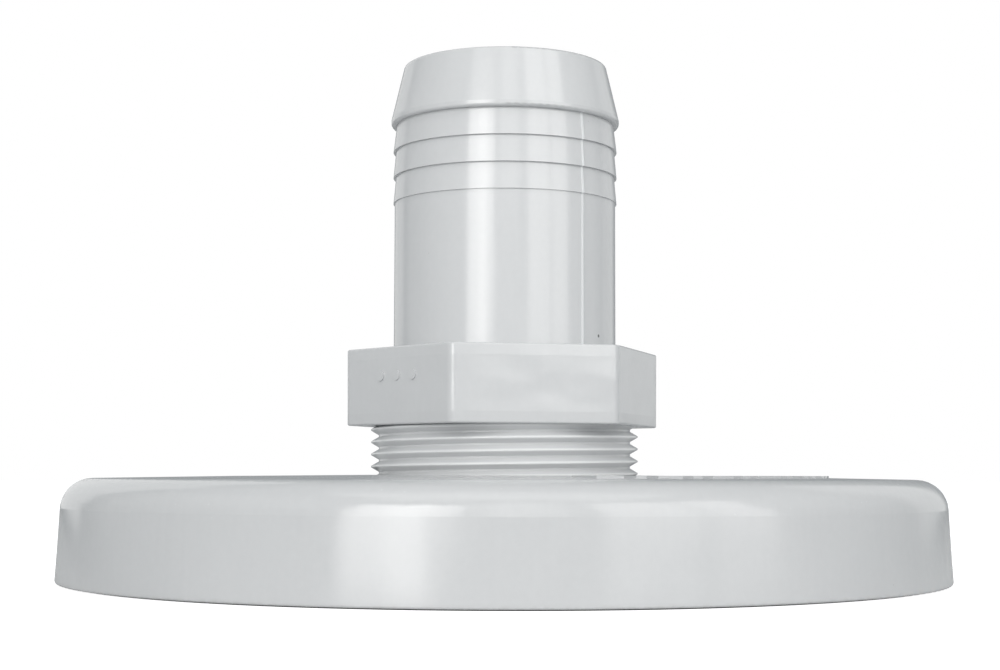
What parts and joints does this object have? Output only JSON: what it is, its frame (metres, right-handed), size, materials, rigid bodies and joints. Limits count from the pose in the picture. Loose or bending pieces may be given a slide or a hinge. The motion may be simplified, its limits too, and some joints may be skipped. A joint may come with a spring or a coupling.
{
  "type": "thru hull fitting",
  "caption": "Round sealing dish with a screwed-in barbed hose adapter, for passing water through a hull.",
  "frame": {"origin": "centre of the plane that the rim gasket rests on", "axes": "+Z along the fitting's axis towards the hose end; +X and +Y lie in the rim's plane, and the raised bars on the dish are on the +X side"},
  "size_m": [0.1586, 0.1586, 0.0924],
  "materials": {
    "dish_plastic": "satin moulded",
    "gasket_rubber": "matt",
    "o_ring_rubber": "matt",
    "adapter_plastic": "satin moulded"
  },
  "bodies": {
    "dish": {"flange_dish": "dish_plastic", "rim_gasket": "gasket_rubber"},
    "seal": {"adapter_o_ring": "o_ring_rubber"},
    "adapter": {"hose_adapter": "adapter_plastic"}
  },
  "joints": [
    {"name": "adapter_travel", "type": "slide", "parent": "dish", "child": "seal", "axis": [0, 0, 1], "range_m": [0, 0.0099]},
    {"name": "adapter_turn", "type": "hinge", "parent": "seal", "child": "adapter", "pos_m": [0, 0, 0], "axis": [0, 0, 1], "range_deg": [0, 1620]}
  ],
  "couplings": [
    {"joint": "adapter_turn", "follows": "adapter_travel", "rad_per_m": 2844.7}
  ]
}
